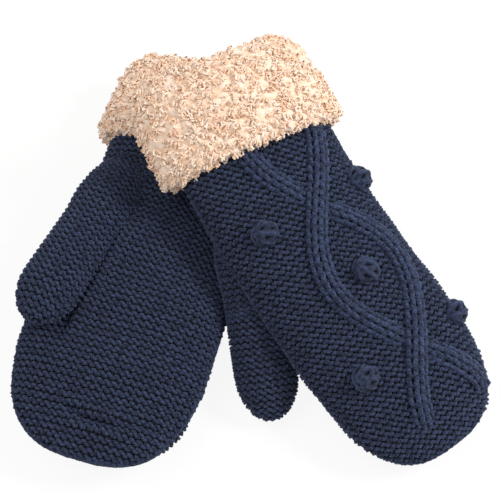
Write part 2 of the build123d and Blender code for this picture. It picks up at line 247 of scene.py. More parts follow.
MATH, VECTOR_MATH = "ShaderNodeMath", "ShaderNodeVectorMath"
NOISE, PRINCIPLED = "ShaderNodeTexNoise", "ShaderNodeBsdfPrincipled"
BUMP, RAMP, SURFACE = "ShaderNodeBump", "ShaderNodeValToRGB", "ShaderNodeOutputMaterial"
COMBINE, SEPARATE = "ShaderNodeCombineXYZ", "ShaderNodeSeparateXYZ"
SHADER_ATTRIBUTE, POSITION = "ShaderNodeAttribute", "GeometryNodeInputPosition"
CIRCLE, TUBE = "GeometryNodeCurvePrimitiveCircle", "GeometryNodeCurveToMesh"
LINE, TO_CURVE = "GeometryNodeMeshLine", "GeometryNodeMeshToCurve"
MOVE, SMOOTH = "GeometryNodeSetPosition", "GeometryNodeSetShadeSmooth"
INSTANCE, ON_SHEET = "GeometryNodeInstanceOnPoints", "GeometryNodeSampleUVSurface"
RANDOM = "FunctionNodeRandomValue"
ATTRIBUTE, STORE = "GeometryNodeInputNamedAttribute", "GeometryNodeStoreNamedAttribute"
ADD, SUBTRACT, MULTIPLY, MULTIPLY_ADD, DIVIDE, SCALE, SINE, COSINE, MAXIMUM = (
    {"operation": word}
    for word in "ADD SUBTRACT MULTIPLY MULTIPLY_ADD DIVIDE SCALE SINE COSINE MAXIMUM".split()
)
FLOATS, VECTORS, BOOLEANS = ({"data_type": word} for word in ("FLOAT", "FLOAT_VECTOR", "BOOLEAN"))
FLOAT_POINTS, VECTOR_POINTS, BOOLEAN_POINTS = (
    {**kind, "domain": "POINT"} for kind in (FLOATS, VECTORS, BOOLEANS)
)
FLOAT_INSTANCES = {**FLOATS, "domain": "INSTANCE"}


def add(tree, kind, settings=None, links=None):
    """Adds a node, with its settings and what goes into each of its sockets: a value, an output
    or a list of outputs. Gives the node's own outputs."""
    node = tree.nodes.new(kind)
    for name, value in (settings or {}).items():
        setattr(node, name, value)
    for key, value in (links or {}).items():
        given = value if isinstance(value, list) else [value]
        if isinstance(given[0], bpy.types.NodeSocket):
            for output in given:
                tree.links.new(output, node.inputs[key])
        else:
            node.inputs[key].default_value = value
    return node.outputs


def linear(colour):
    """sRGB hex to the linear colour that a socket takes."""
    parts = [int(colour[i : i + 2], 16) / 255 for i in (1, 3, 5)]
    return [c / 12.92 if c <= 0.04045 else ((c + 0.055) / 1.055) ** 2.4 for c in parts] + [1.0]


def between(ramp, *stops):
    """Gives a colour ramp its two colours, each with its place."""
    for element, (place, colour) in zip(ramp.node.color_ramp.elements, stops):
        element.position, element.color = place, linear(colour)
    return ramp


def new_material(name):
    material = bpy.data.materials.new(name)
    material.use_nodes = True
    tree = material.node_tree
    tree.nodes.clear()
    return material, tree


def close_material(material, tree, relief, finish):
    """Ends a fibre material, with its surface and the fine relief on it."""
    finish["Normal"] = add(tree, BUMP, {}, relief)[0]
    surface = add(tree, PRINCIPLED, {}, finish)[0]
    add(tree, SURFACE, {}, {"Surface": surface})
    return material


def wool_yarn(name, dipped, raised):
    """Navy wool-blend yarn, two plies, carded and spun: matt, with a soft bloom of fibre and a
    slightly mixed blue where fibres of two shades lie side by side. Dipped and raised scale its
    colour at the bottom and at the top of its stitches: painted shade, darker where it dips."""
    material, tree = new_material(name)
    spin = add(tree, SHADER_ATTRIBUTE, {"attribute_name": "spin"})["Vector"]
    parts = add(tree, SEPARATE, {}, {0: spin})
    object_space = add(tree, "ShaderNodeTexCoord")["Object"]
    # Ply lines, turning round the yarn
    along = add(tree, MATH, MULTIPLY, {0: parts[2], 1: 2 * math.pi / PLY_PITCH})[0]
    sine = add(tree, MATH, SINE, {0: along})[0]
    cosine = add(tree, MATH, COSINE, {0: along})[0]
    turned = add(tree, MATH, MULTIPLY, {0: sine, 1: parts[0]})[0]
    ply = add(tree, MATH, MULTIPLY_ADD, {0: cosine, 1: parts[1], 2: turned})[0]
    # Fibre 0.35 mm across, which is coarser than wool's 0.03 mm so that it shows
    fibre = add(tree, NOISE, {}, {"Vector": object_space, "Scale": 2800.0, "Detail": 2.0})["Fac"]
    heather = add(tree, NOISE, {}, {"Vector": object_space, "Scale": 420.0, "Detail": 3.0})["Fac"]
    mixed = add(tree, MATH, MULTIPLY_ADD, {0: ply, 1: 0.22, 2: heather})[0]
    ramp = add(tree, RAMP, {}, {"Fac": mixed})[0]
    shade = between(ramp, (0.3, "#161B2C"), (0.72, "#3C4868"))
    # Painted shade: the yarn is darker where it dips into the fabric, which its stored attribute gives
    shown = add(tree, SHADER_ATTRIBUTE, {"attribute_name": "shown"})["Fac"]
    painted_shade_scale = add(tree, "ShaderNodeMapRange", {}, {"Value": shown, 3: dipped, 4: raised})[0]
    painted_shade_colour = add(tree, VECTOR_MATH, SCALE, {0: shade, "Scale": painted_shade_scale})[0]
    lines = add(tree, MATH, MULTIPLY_ADD, {0: ply, 1: 0.35, 2: fibre})[0]
    relief = {"Strength": 0.8, "Distance": 0.0003, "Height": lines}
    finish = {"Base Color": painted_shade_colour, "Roughness": 0.88, "Specular IOR Level": 0.25}
    finish |= {"Sheen Weight": 0.25, "Sheen Roughness": 0.5, "Sheen Tint": linear("#A9B6D6")}
    return close_material(material, tree, relief, finish)


def painted_shade_ground():
    """The same yarn seen deep between the stitches, painted dark for the shade that falls there:
    fibrous and without shine.
    """
    material, tree = new_material("navy_yarn_painted_shade_between_stitches")
    object_space = add(tree, "ShaderNodeTexCoord")["Object"]
    fibre = add(tree, NOISE, {}, {"Vector": object_space, "Scale": 700.0, "Detail": 3.0})["Fac"]
    ramp = add(tree, RAMP, {}, {"Fac": fibre})[0]
    shade = between(ramp, (0.3, "#0A0D15"), (0.75, "#131825"))
    relief = {"Strength": 0.6, "Distance": 0.0005, "Height": fibre}
    finish = {"Base Color": shade, "Roughness": 0.95, "Specular IOR Level": 0.15}
    return close_material(material, tree, relief, finish)


def curly_fleece(name, deep, pale):
    """Polyester boucle fleece, crimped and brushed into small curls: soft and matt, with the
    hollows between the curls painted a darker, warmer shade, and each curl its own random tone."""
    material, tree = new_material(name)
    object_space = add(tree, "ShaderNodeTexCoord")["Object"]
    # A random tone on each curl, and painted shade in the hollows of the fleece under them
    tone = add(tree, SHADER_ATTRIBUTE, {"attribute_name": "tone"})["Fac"]
    # Curls about 2 mm across, and their crimp at a quarter of that
    tuft = add(tree, NOISE, {}, {"Vector": object_space, "Scale": 480.0, "Detail": 3.0})["Fac"]
    crimp = add(tree, NOISE, {}, {"Vector": object_space, "Scale": 1900.0, "Detail": 2.0})["Fac"]
    mixed = add(tree, MATH, MULTIPLY_ADD, {0: tone, 1: 0.5, 2: tuft})[0]
    ramp = add(tree, RAMP, {}, {"Fac": mixed})[0]
    shade = between(ramp, (0.4, deep), (0.85, pale))
    relief = {"Strength": 0.3, "Distance": 0.0004, "Height": crimp}
    finish = {"Base Color": shade, "Roughness": 0.9, "Specular IOR Level": 0.2}
    finish |= {"Sheen Weight": 0.3, "Sheen Roughness": 0.6}
    return close_material(material, tree, relief, finish)


# Two copies of one yarn, painted darker for the purled ground's shade and lighter for ropes and bobbles
YARN_LOOK = wool_yarn("navy_wool_blend_yarn_purled_painted_darker", 0.12, 0.98)
ROPE_LOOK = wool_yarn("navy_wool_blend_yarn_cabled_painted_lighter", 0.25, 1.2)
PAINTED_SHADE_LOOK = painted_shade_ground()
CUFF_LOOK = curly_fleece("cream_boucle_fleece", "#EFC7A4", "#FAE4D0")
LINING_LOOK = curly_fleece("cream_lining_fleece", "#DDB38C", "#F7DEC6")


def new_tree(name, sockets):
    """An empty node tree with a named input for each of its sizes."""
    tree = bpy.data.node_groups.new(name, "GeometryNodeTree")
    tree.interface.new_socket("Geometry", in_out="INPUT", socket_type="NodeSocketGeometry")
    tree.interface.new_socket("Geometry", in_out="OUTPUT", socket_type="NodeSocketGeometry")
    for label, kind, value in sockets:
        socket = tree.interface.new_socket(label, in_out="INPUT", socket_type=f"NodeSocket{kind}")
        if value is not None:
            socket.default_value = value
    return tree


def close_tree(tree, shape, given):
    """Ends a tree, with its result as one mesh in the material that it is given."""
    whole = add(tree, "GeometryNodeRealizeInstances", {}, {"Geometry": shape})[0]
    dress = {"Geometry": whole, "Material": given["Material"]}
    dressed = add(tree, "GeometryNodeSetMaterial", {}, dress)[0]
    add(tree, "NodeGroupOutput", {}, {0: dressed})
    return tree


def knitting_tree():
    """Rows of interlocking loops, laid over a sheet by its flat pattern, as tubes of yarn.
    Purl is 1 where the loops' heads face outwards and -1 where their legs do."""
    tree = new_tree(
        "knit_rows_over_a_sheet",
        [
            ("Stitches", "Int", 10),
            ("Rows", "Int", 10),
            ("Start", "Vector", (0, 0, 0)),
            ("Wale", "Float", WALE * MM),
            ("Course", "Float", COURSE * MM),
            ("Yarn", "Float", YARN * MM),
            ("Opening", "Float", LOOP_OPENING * MM),
            ("Reach", "Float", LOOP_REACH * MM),
            ("Depth", "Float", LOOP_DEPTH * MM),
            ("Slant", "Float", LOOP_SLANT * MM),
            ("Purl", "Float", 1.0),
            ("Unevenness", "Float", 0.4 * MM),
            ("Seed", "Float", 1.0),
            ("Material", "Material", None),
        ],
    )
    given = add(tree, "NodeGroupInput")
    points = add(tree, MATH, MULTIPLY, {0: given["Stitches"], 1: LOOP_POINTS})[0]
    row = add(tree, LINE, {}, {"Count": points, "Offset": (1, 0, 0)})[0]
    rows = add(tree, LINE, {}, {"Count": given["Rows"], "Offset": (0, 1, 0)})[0]
    line = add(tree, TO_CURVE, {}, {"Mesh": row})[0]
    field = add(tree, INSTANCE, {}, {"Points": rows, "Instance": line})[0]
    flat = add(tree, "GeometryNodeRealizeInstances", {}, {"Geometry": field})[0]

    # Where each point lies in the flat pattern: its place in the row, and its place in the loop
    position = add(tree, POSITION)[0]
    number = add(tree, SEPARATE, {}, {0: position})[0]
    turn = add(tree, MATH, MULTIPLY, {0: number, 1: 2 * math.pi / LOOP_POINTS})[0]
    twice = add(tree, MATH, MULTIPLY, {0: turn, 1: 2.0})[0]
    swing = add(tree, MATH, SINE, {0: twice})[0]
    reach = add(tree, MATH, COSINE, {0: turn})[0]
    depth = add(tree, MATH, COSINE, {0: twice})[0]
    facing = add(tree, MATH, MULTIPLY, {0: depth, 1: given["Purl"]})[0]
    shape = add(tree, COMBINE, {}, {0: swing, 1: reach, 2: facing})[0]
    sizes = {0: given["Opening"], 1: given["Reach"], 2: given["Depth"]}
    size = add(tree, COMBINE, {}, sizes)[0]
    loop = add(tree, VECTOR_MATH, MULTIPLY, {0: shape, 1: size})[0]
    lean = add(tree, MATH, MULTIPLY, {0: swing, 1: given["Slant"]})[0]
    leaning = add(tree, COMBINE, {}, {1: lean})[0]
    loop = add(tree, VECTOR_MATH, ADD, {0: loop, 1: leaning})[0]
    step = add(tree, MATH, DIVIDE, {0: given["Wale"], 1: float(LOOP_POINTS)})[0]
    pitch = add(tree, COMBINE, {}, {0: step, 1: given["Course"]})[0]
    placed = add(tree, VECTOR_MATH, MULTIPLY_ADD, {0: position, 1: pitch, 2: given["Start"]})[0]
    spot = add(tree, VECTOR_MATH, ADD, {0: placed, 1: loop})[0]
    # Painted shade: 1 where the loop stands out towards the outside, falling to 0 where it dips deepest
    shown = add(tree, MATH, MULTIPLY_ADD, {0: facing, 1: 0.5, 2: 0.5})[0]
    flat = add(tree, STORE, FLOAT_POINTS, {"Geometry": flat, "Name": "shown", "Value": shown})[0]

    # Hand-made unevenness, on the scale of one to two stitches
    scales = {"Vector": placed, "W": given["Seed"], "Scale": 190.0, "Detail": 1.0}
    uneven = add(tree, NOISE, {"noise_dimensions": "4D"}, scales)["Color"]
    centred = add(tree, VECTOR_MATH, SUBTRACT, {0: uneven, 1: (0.5, 0.5, 0.5)})[0]
    wander = add(tree, VECTOR_MATH, SCALE, {0: centred, "Scale": given["Unevenness"]})[0]
    twice_wander = add(tree, VECTOR_MATH, SCALE, {0: wander, "Scale": 2.0})[0]
    spot = add(tree, VECTOR_MATH, ADD, {0: spot, 1: twice_wander})[0]
    height = add(tree, SEPARATE, {}, {0: spot})[2]

    pattern = add(tree, ATTRIBUTE, VECTORS, {"Name": "pattern"})[0]
    outward = add(tree, ATTRIBUTE, VECTORS, {"Name": "outward"})[0]
    asked = {"Mesh": given["Geometry"], "Source UV Map": pattern, "Sample UV": spot}
    on_sheet, normal = (
        add(tree, ON_SHEET, VECTORS, asked | {"Value": value})
        for value in (position, outward)
    )
    lift = add(tree, VECTOR_MATH, SCALE, {0: normal[0], "Scale": height})[0]
    laid = add(tree, VECTOR_MATH, ADD, {0: on_sheet[0], 1: lift})[0]
    stored = {"Geometry": flat, "Name": "on_the_sheet", "Value": on_sheet[1]}
    kept = add(tree, STORE, BOOLEAN_POINTS, stored)[0]
    moved = add(tree, MOVE, {}, {"Geometry": kept, "Position": laid})[0]
    sheeted = add(tree, ATTRIBUTE, BOOLEANS, {"Name": "on_the_sheet"})[0]
    off = add(tree, "FunctionNodeBooleanMath", {"operation": "NOT"}, {0: sheeted})[0]
    trimmed = add(tree, "GeometryNodeDeleteGeometry", {}, {"Geometry": moved, "Selection": off})[0]

    # The tube, and how its plies turn: cosine and sine round it, and the length along it
    length = add(tree, "GeometryNodeSplineParameter")["Length"]
    stored = {"Geometry": trimmed, "Name": "yarn_length", "Value": length}
    lengths = add(tree, STORE, FLOAT_POINTS, stored)[0]
    circle = add(tree, CIRCLE, {"mode": "RADIUS"}, {"Resolution": YARN_SIDES, "Radius": 0.5})[0]
    stored = {"Geometry": circle, "Name": "round_the_yarn", "Value": position}
    ring = add(tree, STORE, VECTOR_POINTS, stored)[0]
    yarn = {"Curve": lengths, "Profile Curve": ring, "Scale": given["Yarn"], "Fill Caps": True}
    tube = add(tree, TUBE, {}, yarn)[0]
    along = add(tree, ATTRIBUTE, FLOATS, {"Name": "yarn_length"})[0]
    around = add(tree, ATTRIBUTE, VECTORS, {"Name": "round_the_yarn"})[0]
    sides = add(tree, SEPARATE, {}, {0: around})
    spin = add(tree, COMBINE, {}, {0: sides[0], 1: sides[1], 2: along})[0]
    stored = {"Geometry": tube, "Name": "spin", "Value": spin}
    spun = add(tree, STORE, VECTOR_POINTS, stored)[0]
    smooth = add(tree, SMOOTH, {}, {"Geometry": spun})[0]
    return close_tree(tree, smooth, given)


def bobble_tree():
    """A ball of wound yarn on each point, each turned its own way."""
    tree = new_tree(
        "wound_bobbles",
        [
            ("Radius", "Float", BOBBLE_RADIUS * MM),
            ("Yarn", "Float", BOBBLE_YARN * MM),
            ("Winds", "Int", BOBBLE_WINDS),
            ("Heading", "Float", 0.0),
            ("Seed", "Int", 3),
            ("Material", "Material", None),
        ],
    )
    given = add(tree, "NodeGroupInput")
    steps = WIND_POINTS * BOBBLE_WINDS
    count = add(tree, MATH, MULTIPLY, {0: given["Winds"], 1: float(WIND_POINTS)})[0]
    chain = add(tree, LINE, {}, {"Count": count, "Offset": (1, 0, 0)})[0]
    line = add(tree, TO_CURVE, {}, {"Mesh": chain})[0]
    position = add(tree, POSITION)[0]
    number = add(tree, SEPARATE, {}, {0: position})[0]
    # Round and round, while the winds turn about the ball and grow a little, so that they cross
    round_it = add(tree, MATH, MULTIPLY, {0: number, 1: 2 * math.pi / WIND_POINTS})[0]
    tip = add(tree, MATH, MULTIPLY, {0: number, 1: 2 * math.pi / steps})[0]
    cosine = add(tree, MATH, COSINE, {0: round_it})[0]
    sine = add(tree, MATH, SINE, {0: round_it})[0]
    wind = add(tree, COMBINE, {}, {0: cosine, 1: sine})[0]
    turning = {"Vector": wind, "Axis": WIND_AXIS, "Angle": tip}
    tipped = add(tree, "ShaderNodeVectorRotate", {"rotation_type": "AXIS_ANGLE"}, turning)[0]
    growth = {0: number, 1: (LAST_WIND - FIRST_WIND) / steps, 2: FIRST_WIND}
    grown = add(tree, MATH, MULTIPLY_ADD, growth)[0]
    radius = add(tree, MATH, MULTIPLY, {0: given["Radius"], 1: grown})[0]
    ball = add(tree, VECTOR_MATH, SCALE, {0: tipped, "Scale": radius})[0]
    wound = add(tree, MOVE, {}, {"Geometry": line, "Position": ball})[0]
    circle = add(tree, CIRCLE, {"mode": "RADIUS"}, {"Resolution": YARN_SIDES, "Radius": 0.5})[0]
    yarn = {"Curve": wound, "Profile Curve": circle, "Scale": given["Yarn"], "Fill Caps": True}
    tube = add(tree, TUBE, {}, yarn)[0]
    core_radius = add(tree, MATH, MULTIPLY, {0: given["Radius"], 1: BOBBLE_CORE})[0]
    core = add(tree, "GeometryNodeMeshIcoSphere", {}, {"Radius": core_radius, "Subdivisions": 3})[0]
    # Painted shade: darker in the creases between the winds and on the core beneath them
    reach = add(tree, VECTOR_MATH, {"operation": "LENGTH"}, {0: position})["Value"]
    proud = add(tree, MATH, SUBTRACT, {0: reach, 1: given["Radius"]})[0]
    crease = add(tree, MATH, MULTIPLY, {0: given["Yarn"], 1: 0.1})[0]
    crest = add(tree, MATH, MULTIPLY, {0: given["Yarn"], 1: 0.5})[0]
    depths = {"Value": proud, 1: crease, 2: crest, 3: 0.0, 4: 0.95}
    shown = add(tree, "ShaderNodeMapRange", {}, depths)[0]
    laid = add(tree, STORE, FLOAT_POINTS, {"Geometry": tube, "Name": "shown", "Value": shown})[0]
    both = add(tree, "GeometryNodeJoinGeometry", {}, {0: [laid, core]})[0]
    smooth = add(tree, SMOOTH, {}, {"Geometry": both})[0]
    angles = {0: (-0.4, -0.4, -0.7), 1: (0.4, 0.4, 0.7), "Seed": given["Seed"]}
    turned = add(tree, RANDOM, VECTORS, angles)[0]
    heading = add(tree, COMBINE, {}, {2: given["Heading"]})[0]
    turned = add(tree, VECTOR_MATH, ADD, {0: turned, 1: heading})[0]
    rotation = add(tree, "FunctionNodeEulerToRotation", {}, {0: turned})[0]
    set_out = {"Points": given["Geometry"], "Instance": smooth, "Rotation": rotation}
    balls = add(tree, INSTANCE, {}, set_out)[0]
    return close_tree(tree, balls, given)


def curl_tree():
    """Small curls of crimped yarn scattered over the pile side of a fleece, and the fleece itself."""
    tree = new_tree(
        "fleece_curls",
        [
            ("Density", "Float", CURLS_PER_MM2 / MM**2),
            ("Curl", "Float", CURL_RADIUS * MM),
            ("Thickness", "Float", CURL_THICKNESS * MM),
            ("Rise", "Float", CURL_RISE * MM),
            ("Seed", "Int", 5),
            ("Material", "Material", None),
        ],
    )
    given = add(tree, "NodeGroupInput")
    pile = add(tree, ATTRIBUTE, FLOATS, {"Name": "pile"})[0]
    density = add(tree, MATH, MULTIPLY, {0: pile, 1: given["Density"]})[0]
    scattered = {"Mesh": given["Geometry"], "Density": density, "Seed": given["Seed"]}
    spots = add(tree, "GeometryNodeDistributePointsOnFaces", {"distribute_method": "RANDOM"}, scattered)
    tight = add(tree, MATH, MULTIPLY, {0: given["Curl"], 1: 0.5})[0]
    turns = {"Resolution": 4, "Rotations": 1.25, "Height": given["Curl"]}
    turns |= {"Start Radius": given["Curl"], "End Radius": tight}
    spiral = add(tree, "GeometryNodeCurveSpiral", {}, turns)[0]
    circle = add(tree, CIRCLE, {"mode": "RADIUS"}, {"Resolution": 4, "Radius": 0.5})[0]
    fibre = {"Curve": spiral, "Profile Curve": circle, "Scale": given["Thickness"], "Fill Caps": False}
    curl = add(tree, TUBE, {}, fibre)[0]
    crimped = {"Geometry": curl, "Shade Smooth": False}
    flat = add(tree, SMOOTH, {}, crimped)[0]
    angles = {0: (0, 0, 0), 1: (6.28, 6.28, 6.28), "Seed": given["Seed"]}
    turned = add(tree, RANDOM, VECTORS, angles)[0]
    rotation = add(tree, "FunctionNodeEulerToRotation", {}, {0: turned})[0]
    growths = {2: 0.65, 3: 1.35, "Seed": given["Seed"]}
    grown = add(tree, RANDOM, FLOATS, growths)[1]
    set_out = {"Points": spots[0], "Instance": flat, "Rotation": rotation, "Scale": grown}
    curls = add(tree, INSTANCE, {}, set_out)[0]
    normal = add(tree, VECTOR_MATH, SCALE, {0: spots[1], "Scale": given["Rise"]})[0]
    moved = {"Instances": curls, "Translation": normal, "Local Space": False}
    raised = add(tree, "GeometryNodeTranslateInstances", {}, moved)[0]
    shades = {2: 0.0, 3: 1.0, "Seed": 11}
    shade = add(tree, RANDOM, FLOATS, shades)[1]
    stored = {"Geometry": raised, "Name": "tone", "Value": shade}
    toned = add(tree, STORE, FLOAT_INSTANCES, stored)[0]
    both = add(tree, "GeometryNodeJoinGeometry", {}, {0: [toned, given["Geometry"]]})[0]
    return close_tree(tree, both, given)


KNITTING = knitting_tree()
BOBBLES = bobble_tree()
CURLS = curl_tree()


# Meshes


def new_object(name, data):
    """An object of a mesh, a lamp or a camera, in the scene."""
    made = bpy.data.objects.new(name, data)
    bpy.context.scene.collection.objects.link(made)
    return made


def mesh_object(name, vertices, faces):
    mesh = bpy.data.meshes.new(name)
    mesh.from_pydata([tuple(v) for v in vertices], [], faces)
    mesh.update()
    return new_object(name, mesh)


def plain(start, name):
    """What an object's modifiers make of it, as a plain mesh object that takes its place."""
    bpy.context.view_layer.update()
    evaluated = start.evaluated_get(bpy.context.evaluated_depsgraph_get())
    mesh = bpy.data.meshes.new_from_object(evaluated)
    mesh.name = name
    bpy.data.objects.remove(start)
    return new_object(name, mesh)


def grow(start, name, tree, sizes):
    """What a node tree makes of an object."""
    modifier = start.modifiers.new("grow", "NODES")
    modifier.node_group = tree
    sockets = {s.name: s.identifier for s in tree.interface.items_tree if s.in_out == "INPUT"}
    for label, value in sizes.items():
        modifier[sockets[label]] = value
    return plain(start, name)


def join(name, parts):
    """One object of several, each with its own materials."""
    bpy.ops.object.select_all(action="DESELECT")
    for part in parts:
        part.select_set(True)
    bpy.context.view_layer.objects.active = parts[0]
    bpy.ops.object.join()
    parts[0].name = name
    parts[0].data.name = name
    return parts[0]


def arc_lengths(points):
    """Distance along a line of points from its first."""
    steps = np.linalg.norm(np.diff(np.asarray(points, float), axis=0), axis=1)
    return np.concatenate([[0.0], np.cumsum(steps)])


def sheet(name, mitten, rows, spine, inside):
    """A sheet through rows of points, facing away from a point inside the mitten: its object, its
    outward direction at each point, and its flat pattern, in which each row keeps its real width
    about its middle and lies as far along as the spine says."""
    columns = len(rows[0])
    places = mitten.place(np.array(rows).reshape(-1, 3))
    faces = []
    for r in range(len(rows) - 1):
        for c in range(columns - 1):
            a = r * columns + c
            faces.append((a, a + 1, a + columns + 1, a + columns))
    made = mesh_object(name, places, faces)
    grid = places.reshape(-1, columns, 3)
    normal = np.cross(np.gradient(grid, axis=1), np.gradient(grid, axis=0)).reshape(-1, 3)
    normal /= np.maximum(np.linalg.norm(normal, axis=1, keepdims=True), 1e-12)
    if ((places - mitten.place(inside)) * normal).sum() < 0:
        made.data.flip_normals()
        normal = -normal
    pattern = []
    for row, along in zip(rows, spine):
        widths = arc_lengths(row)
        pattern += [(w - widths[-1] / 2, along) for w in widths]
    return made, normal, np.array(pattern) * MM


def set_back(surface):
    """A copy of a sheet, moved inwards to lie under the yarn."""
    made = new_object(surface[0].name, surface[0].data.copy())
    for vertex, out in zip(made.data.vertices, surface[1]):
        vertex.co -= Vector(out * UNDER_YARN * MM)
    return made


def knit(name, surface, look=YARN_LOOK, **sizes):
    """Yarn knitted over a sheet. Sizes are the knitting tree's own inputs, besides the defaults."""
    made, normal, pattern = surface
    outward = made.data.attributes.new("outward", "FLOAT_VECTOR", "POINT")
    outward.data.foreach_set("vector", normal.ravel())
    flat = np.zeros((len(pattern), 3))
    flat[:, :2] = pattern
    loops = np.zeros(len(made.data.loops), int)
    made.data.loops.foreach_get("vertex_index", loops)
    layer = made.data.attributes.new("pattern", "FLOAT_VECTOR", "CORNER")
    layer.data.foreach_set("vector", flat[loops].ravel())
    low, high = pattern.min(0), pattern.max(0)
    wale, course = sizes.get("Wale", WALE * MM), sizes.get("Course", COURSE * MM)
    stitches = sizes.pop("Stitches", None) or math.ceil((high[0] - low[0]) / wale) + 2
    rows = math.ceil((high[1] - low[1]) / course) + 2
    start = (-stitches * wale / 2, low[1] - course * 0.5, 0.0)
    field = {"Stitches": stitches, "Rows": rows, "Start": start, "Material": look}
    return grow(made, name, KNITTING, {**field, **sizes})


def panel_sheet(mitten, palm):
    """The hand's palm or back, from one edge to the other and from the opening to the tip."""
    side = 1 if palm else -1
    angles = [side * math.pi * (i / 56) for i in range(57)]
    alongs = [i * 3.5 for i in range(49)]
    reach = LENGTH - alongs[-1]
    alongs += [alongs[-1] + reach * math.sin(math.pi / 2 * i / 36) for i in range(1, 37)]
    alongs = [min(a, LENGTH - 0.02) for a in alongs]
    rows = [
        [mitten.surface(angle, along, mitten.slack(angle, along, palm)) for angle in angles]
        for along in alongs
    ]
    spine = arc_lengths([mitten.surface(side * math.pi / 2, along) for along in alongs])
    return sheet("panel", mitten, rows, spine, mitten.on_hand(0, 110))


def merge(mesh, distance, inset=0.0):
    """Joins the vertices that lie within a distance, faces the mesh outwards and takes it in."""
    shape = bmesh.new()
    shape.from_mesh(mesh)
    bmesh.ops.remove_doubles(shape, verts=shape.verts, dist=distance * MM)
    bmesh.ops.recalc_face_normals(shape, faces=shape.faces)
    for vertex in shape.verts:
        vertex.normal_update()
    for vertex, move in [(v, v.normal * inset * MM) for v in shape.verts]:
        vertex.co -= move
    shape.to_mesh(mesh)
    shape.free()


def merged_copy(node, name, inset=0.0):
    """A CAD node's own surface with its vertices joined, taken in by an inset."""
    made = new_object(name, frame["nodes"][node].data.copy())
    made.data.materials.clear()
    merge(made.data, 0.02, inset)
    return made


def rope_sheet(mitten, side):
    """One cable strand as a rounded rope on the back of the hand, from the cuff to its end. The
    over strand, side 1, lies on top at the first crossing and dips under the other, side -1, at
    the second."""
    start, steps = CUFF_LENGTH - (CUFF_LEAN if mitten is LEFT else 0), 120
    rows = []
    for i in range(steps + 1):
        along = start + (ROPE_END - start) * i / steps
        phase = math.pi * (along - FIRST_CROSSING) / CROSSING_PITCH
        offset = PATTERN_OFFSET + side * ROPE_SPREAD * math.sin(phase)
        slope = math.atan(side * ROPE_SPREAD * math.pi / CROSSING_PITCH * math.cos(phase))
        near = max(0.0, 1 - abs(math.sin(phase)) / CROSSING_SHARE)
        rise = (ROPE_RISE if (side > 0) == (phase < math.pi / 2) else ROPE_DIP) * ease(near)
        end = min(1.0, (ROPE_END - along) / ROPE_RUN_OUT + 0.25, (along - start) / ROPE_RUN_OUT + 0.3)
        row = []
        for j in range(15):
            turn = math.pi * (j / 14)
            out = -math.cos(turn) * ROPE_WIDTH / 2 * (0.7 + 0.3 * end)
            across, shift = offset + out * math.cos(slope), -out * math.sin(slope)
            height = mitten.back_height(across, along + shift)
            half_width, half_depth = mitten.half_sizes(along + shift)
            share = max(-0.95, min(0.95, across / half_width))
            normal = np.array([share / half_width, -math.sqrt(1 - share**2) / half_depth])
            normal /= np.linalg.norm(normal)
            lift = (ROPE_HEIGHT * math.sin(turn) ** 0.8 * end + rise) - ROPE_SUNK
            across, height = across + normal[0] * lift, height + normal[1] * lift
            row.append(mitten.on_hand(across, along + shift, height))
        rows.append(row)
    spine = arc_lengths([row[len(row) // 2] for row in rows])
    return sheet("rope", mitten, rows, spine, mitten.on_hand(0, 140))


def thumb_frame(mitten):
    """The thumb's root, and its directions along, to its side and up, in the mitten's frame."""
    _, _, heading = mitten.middle(ROOT_Y)
    turn = mitten.splay - heading
    root = np.array(mitten.on_hand(ROOT_X, ROOT_Y, ROOT_Z))
    level = math.cos(mitten.rise)
    axis = np.array([math.sin(turn) * level, math.cos(turn) * level, math.sin(mitten.rise)])
    side = np.array([math.cos(turn), -math.sin(turn), 0.0])
    return root, axis, side, np.cross(side, axis)


def thumb_sheet(mitten, upper):
    """Half of the thumb, from its round root to its tip, pressed flat where it lies on the palm."""
    root, axis, side, up = thumb_frame(mitten)
    stations = [("root", math.radians(a)) for a in range(-88, -8, 10)]
    stations += [("stem", i * (THUMB_LENGTH - THUMB_TIP) / 22) for i in range(23)]
    stations += [("tip", math.radians(a)) for a in (10, 20, 30, 40, 50, 60, 68, 75, 81, 86, 89)]
    rows = []
    half_width, half_depth = THUMB_WIDTH / 2, THUMB_DEPTH / 2
    for kind, value in stations:
        if kind == "root":
            reach = -ROOT_RUN * math.sin(-value)
            wide = ROOT_RADIUS * math.cos(value) ** 0.9
            deep = (half_depth + ROOT_EXTRA) * math.cos(value) ** 1.5
        elif kind == "stem":
            reach = value
            near = 1 - ease(value / ROOT_FADE)
            wide = half_width + (ROOT_RADIUS - half_width) * near
            deep = half_depth + ROOT_EXTRA * near
        else:
            reach = THUMB_LENGTH - THUMB_TIP + THUMB_TIP * math.sin(value)
            wide, deep = half_width * math.cos(value), half_depth * math.cos(value)
        row = []
        for j in range(25):
            angle = math.pi * j / 24 * (1 if upper else -1)
            point = root + axis * reach + side * wide * math.cos(angle) + up * deep * math.sin(angle)
            gap = THUMB_GAP + THUMB_LIFT * ease(max(reach, 0) / 30)
            point[2] = max(point[2], mitten.palm_height(point[0], point[1]) + gap)
            row.append(list(point))
        rows.append(row)
    spine = arc_lengths([row[len(row) // 2] for row in rows])
    return sheet("thumb", mitten, rows, spine, root + axis * 30)


